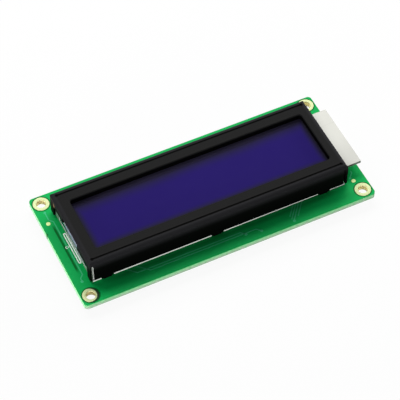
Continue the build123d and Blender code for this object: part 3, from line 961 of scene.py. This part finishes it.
class DISPLAY_OT_connectors(bpy.types.Operator):
    """Finish the two elastomer connectors"""

    bl_idname = "display.connectors"
    bl_label = "Connectors"

    def execute(self, context):
        rubber = elastomer(context.scene.display_parts)
        finish_nodes(rubber, "zebra_strip_front", "zebra_strip_back")
        return {"FINISHED"}


class DISPLAY_OT_rear(bpy.types.Operator):
    """Shape the epoxy caps and solder joints, and finish the chip parts"""

    bl_idname = "display.rear"
    bl_label = "Rear parts"

    def execute(self, context):
        tints = context.scene.display_parts
        epoxy = plain("black_epoxy", tints.epoxy, roughness=0.35, specular=0.4,
                      grain=1.2, spread=0.2, depth=0.05)
        for i, node in enumerate(("controller_blob", "driver_blob")):
            make_piece(f"{node}_dome", self.dome(node, 1.7 * i), epoxy, [node])
        solder = plain("solder", tints.solder, roughness=0.28, specular=0.5,
                       grain=0.3, depth=0.02, metallic=0.9)
        joint = copies(self.meniscus(pad_radius=0.95), pin_places)
        make_piece("backlight_pin_joints", joint, solder, ["backlight_pin_solder"])
        finish_nodes(solder, "chip_end_caps", "solder_lands", "jumper_pads")
        coat = plain("resistor_ceramic", tints.resistor, roughness=0.45, specular=0.4, grain=0.2)
        finish_nodes(coat, "chip_resistors")
        ceramic = plain("capacitor_ceramic", tints.capacitor, roughness=0.55, grain=0.2)
        finish_nodes(ceramic, "chip_capacitors")
        return {"FINISHED"}

    def dome(self, node, phase):
        """A cap whose outline swells and dips a little: r = R (1 + 0.012 sin 3a + 0.008 sin 5a - 0.02).

        The swell grows with the square of the distance from the middle. Past a flat middle, the
        height falls to the board with the 2.4 power of that distance.
        """
        low, high = corners(node)
        middle, radius = (low + high) / 2, (high[0] - low[0]) / 2
        flat = 0.3
        share = np.linspace(0, 1, 22)
        angle = np.linspace(0, 2 * math.pi, 72, endpoint=False)[:, None]
        wave = 0.012 * np.sin(3 * angle + phase) + 0.008 * np.sin(5 * angle - phase) - 0.02
        reach = radius * share * (1 + wave * share**2)
        fall = np.clip((share - flat) / (1 - flat), 0, 1) ** 2.4
        height = low[2] + (high[2] + SINK - low[2]) * fall
        points = [middle[0] + reach * np.cos(angle), middle[1] + reach * np.sin(angle), height + 0 * angle]
        return np.stack(points, axis=-1).reshape(-1, 3), grid_faces(len(angle), len(share), wrap_rows=True)

    def meniscus(self, pad_radius):
        """Solder drawn up a pin: r = pin + (pad - pin) (1 - h)^2.2, with h from 0 at the pad to 1."""
        low, high = corners("backlight_pin_solder")
        share = np.linspace(0, 1, 10)
        radius = pin_radius + (pad_radius - pin_radius) * (1 - share) ** 2.2
        height = high[2] + (low[2] - high[2]) * share
        inner = np.array([(pin_radius, low[2]), (pin_radius, high[2])])
        return turned(np.vstack([np.stack([radius, height], axis=1), inner]), 32)


class DISPLAY_OT_stage(bpy.types.Operator):
    """Lay the pale floor, hang the lamps and set the camera"""

    bl_idname = "display.stage"
    bl_label = "Stage"

    def execute(self, context):
        settings = context.scene.display_stage
        self.floor(settings)
        self.world(context.scene, settings)
        for lamp in LAMPS:
            self.lamp(*lamp)
        self.camera(context.scene, settings)
        context.scene.view_settings.view_transform = "Standard"
        return {"FINISHED"}

    def floor(self, settings):
        """A wide plane under the module whose own white lifts it to the photograph's background."""
        half, drop = 2000 * MM, -0.02 * MM
        points = [(-half, -half, drop), (half, -half, drop), (half, half, drop), (-half, half, drop)]
        mesh = bpy.data.meshes.new("floor")
        mesh.from_pydata(points, [], [(0, 1, 2, 3)])
        floor = bpy.data.objects.new("floor", mesh)
        bpy.context.scene.collection.objects.link(floor)
        material = bpy.data.materials.new("floor_white")
        material.use_nodes = True
        nodes = Nodes(material.node_tree)
        nodes.tree.nodes.clear()
        matt = nodes.add("ShaderNodeBsdfDiffuse", {}, {"Color": settings.floor})
        glow = nodes.add("ShaderNodeEmission", {}, {"Color": (1, 1, 1)})
        mix = nodes.add("ShaderNodeMixShader", {}, {0: settings.glow * nodes.seen(), 1: matt, 2: glow})
        nodes.add("ShaderNodeOutputMaterial", {}, {"Surface": mix})
        mesh.materials.append(material)

    def world(self, scene, settings):
        """White to the eye and in reflections, and a softer light on the module."""
        world = bpy.data.worlds.new("studio")
        world.use_nodes = True
        nodes = Nodes(world.node_tree)
        back = nodes.tree.nodes["Background"]
        nodes.fill(back.inputs["Color"], (1, 1, 1))
        nodes.fill(back.inputs["Strength"], settings.ambient + (1 - settings.ambient) * nodes.seen())
        scene.world = world

    def facing(self, back):
        """The turn that makes a lamp or camera look against the direction back."""
        return Vector(-np.asarray(back, float)).to_track_quat("-Z", "Y")

    def lamp(self, name, place, size, power):
        """A soft lamp, placed in millimetres and turned to the module."""
        data = bpy.data.lights.new(name, "AREA")
        data.shape = "RECTANGLE"
        data.size, data.size_y = size[0] * MM, size[1] * MM
        data.energy = power
        lamp = bpy.data.objects.new(name, data)
        bpy.context.scene.collection.objects.link(lamp)
        lamp.location = np.array(place) * MM
        lamp.rotation_euler = self.facing(place).to_euler()

    def camera(self, scene, settings):
        """The camera looks down at the module from the front left, level with the horizon."""
        a, e = settings.azimuth, settings.elevation
        back = np.array([math.sin(a) * math.cos(e), -math.cos(a) * math.cos(e), math.sin(e)])
        target = np.array([-1.68, -2.11, board_top + 2.0])
        data = bpy.data.cameras.new("camera")
        data.lens = settings.lens
        data.clip_start, data.clip_end = 0.01, 10
        camera = bpy.data.objects.new("camera", data)
        scene.collection.objects.link(camera)
        camera.location = target * MM + back * settings.distance
        camera.rotation_mode = "QUATERNION"
        camera.rotation_quaternion = self.facing(back)
        scene.camera = camera


SETTINGS = {
    "display_board": BoardSettings,
    "display_bezel": BezelSettings,
    "display_screen": ScreenSettings,
    "display_backlight": BacklightSettings,
    "display_parts": PartsSettings,
    "display_stage": StageSettings,
}
OPERATORS = [
    DISPLAY_OT_board,
    DISPLAY_OT_plating,
    DISPLAY_OT_print,
    DISPLAY_OT_bezel,
    DISPLAY_OT_cell,
    DISPLAY_OT_backlight,
    DISPLAY_OT_connectors,
    DISPLAY_OT_rear,
    DISPLAY_OT_stage,
]


class DISPLAY_PT_panel(bpy.types.Panel):
    """Lists the settings and the steps that finish the module"""

    bl_idname = "DISPLAY_PT_panel"
    bl_label = "Display module"
    bl_space_type = "VIEW_3D"
    bl_region_type = "UI"
    bl_category = "Display module"

    def draw(self, context):
        for operator in OPERATORS:
            self.layout.operator(operator.bl_idname)
        for name, group in SETTINGS.items():
            box = self.layout.box()
            box.label(text=group.__doc__.split(":")[0])
            for key in group.__annotations__:
                box.prop(getattr(context.scene, name), key)


def register():
    for cls in [*SETTINGS.values(), *OPERATORS, DISPLAY_PT_panel]:
        bpy.utils.register_class(cls)
    for name, group in SETTINGS.items():
        setattr(bpy.types.Scene, name, bpy.props.PointerProperty(type=group))


def unregister():
    for name in SETTINGS:
        delattr(bpy.types.Scene, name)
    for cls in reversed([*SETTINGS.values(), *OPERATORS, DISPLAY_PT_panel]):
        bpy.utils.unregister_class(cls)


def main():
    """Register the add-on and run its operators in order."""
    register()
    for operator in OPERATORS:
        group, name = operator.bl_idname.split(".")
        getattr(getattr(bpy.ops, group), name)()


if __name__ == "__main__":
    main()
